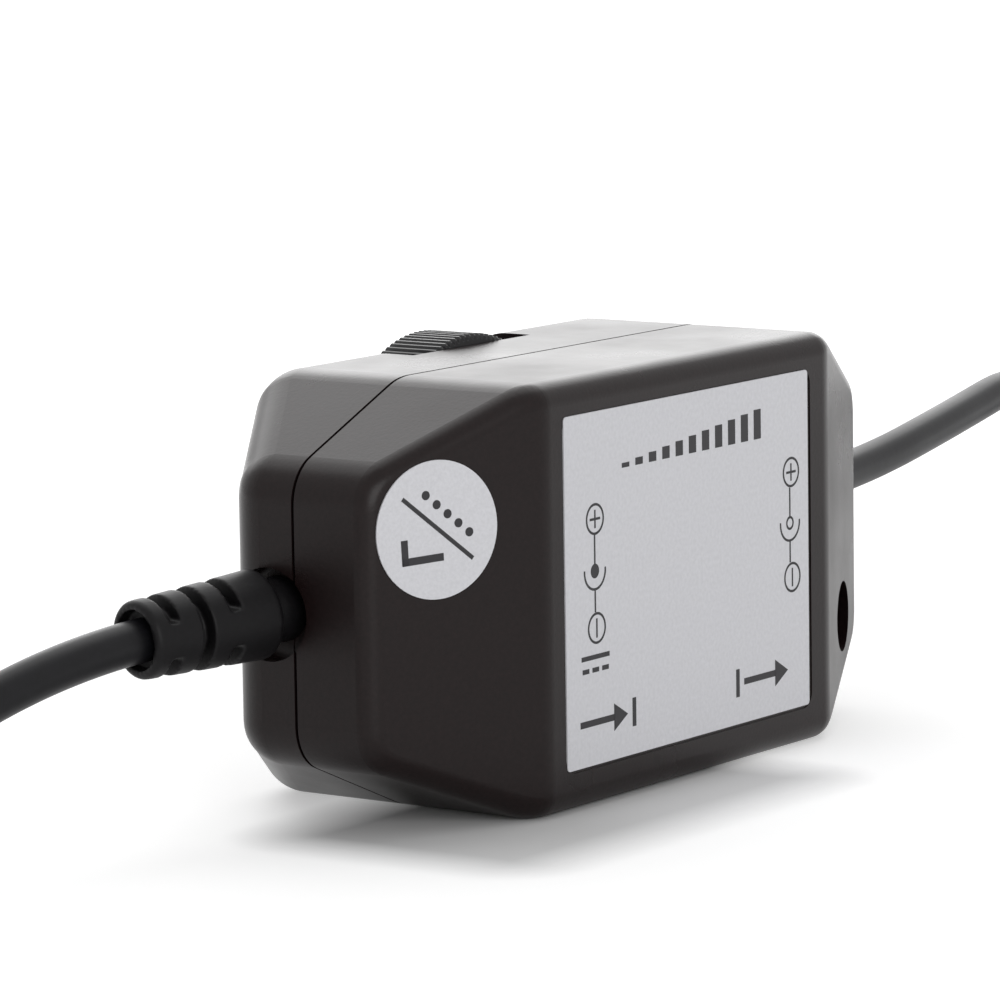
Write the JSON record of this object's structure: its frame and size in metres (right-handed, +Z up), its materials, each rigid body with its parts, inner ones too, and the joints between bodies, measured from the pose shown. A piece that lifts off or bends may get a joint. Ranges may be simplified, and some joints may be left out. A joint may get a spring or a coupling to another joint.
{
  "type": "led strip dimmer",
  "caption": "In-line lamp strip dimmer: black two-piece case with bevelled ends, silver label, thumb wheel in its top edge, barrel jack and barrel plug on short cords.",
  "frame": {"origin": "under the middle of the case's box, on the surface that its long narrow side stands on", "axes": "+X along the case towards the output cord, +Y from the label to the back, +Z up"},
  "size_m": [0.3668, 0.032, 0.041],
  "materials": {
    "case_plastic": "fine spark-grained black moulding",
    "wheel_plastic": "smooth moulded rim with fine serrations",
    "label_foil": "silver-grey printed film",
    "seal_paper": "white paper seal",
    "screw_steel": "plated steel",
    "cord_jacket": "satin jacket",
    "boot_rubber": "soft satin moulding",
    "end_moulding_plastic": "satin overmoulding",
    "contact_metal": "nickel plate",
    "insulator_plastic": "black insulating plastic",
    "lead_red": "red insulation",
    "lead_black": "black insulation",
    "board_laminate": "green solder mask",
    "component_black": "moulded package",
    "tinned_metal": "tinned metal",
    "pot_body_plastic": "moulded can",
    "pot_shaft_plastic": "natural plastic",
    "can_aluminium": "sleeved can",
    "film_plastic": "dipped film capacitor",
    "resistor_lacquer": "lacquered"
  },
  "bodies": {
    "case": {"case_screws": "screw_steel", "circuit_board": "board_laminate", "filter_capacitor": "can_aluminium", "front_label": "label_foil", "front_shell": "case_plastic", "input_cord": "cord_jacket", "input_jack_moulding": "end_moulding_plastic", "input_jack_pin": "contact_metal", "input_jack_sleeve": "contact_metal", "input_lead_black": "lead_black", "input_lead_red": "lead_red", "input_strain_relief": "boot_rubber", "output_cord": "cord_jacket", "output_lead_black": "lead_black", "output_lead_red": "lead_red", "output_plug_barrel": "contact_metal", "output_plug_insulator": "insulator_plastic", "output_plug_moulding": "end_moulding_plastic", "output_strain_relief": "boot_rubber", "potentiometer_body": "pot_body_plastic", "potentiometer_pins": "tinned_metal", "power_transistor_case": "component_black", "power_transistor_tab": "tinned_metal", "protection_diode": "component_black", "rear_shell": "case_plastic", "resistors": "resistor_lacquer", "seal_sticker": "seal_paper", "timer_chip": "component_black", "timer_chip_legs": "tinned_metal", "timing_capacitor": "film_plastic"},
    "dial": {"thumb_wheel": "wheel_plastic", "potentiometer_shaft": "pot_shaft_plastic"}
  },
  "joints": [
    {"name": "wheel_turn", "type": "hinge", "parent": "case", "child": "dial", "pos_m": [-0.0008, 0.0118, 0.02605], "axis": [0, 1, 0], "range_deg": [-150, 150]}
  ]
}
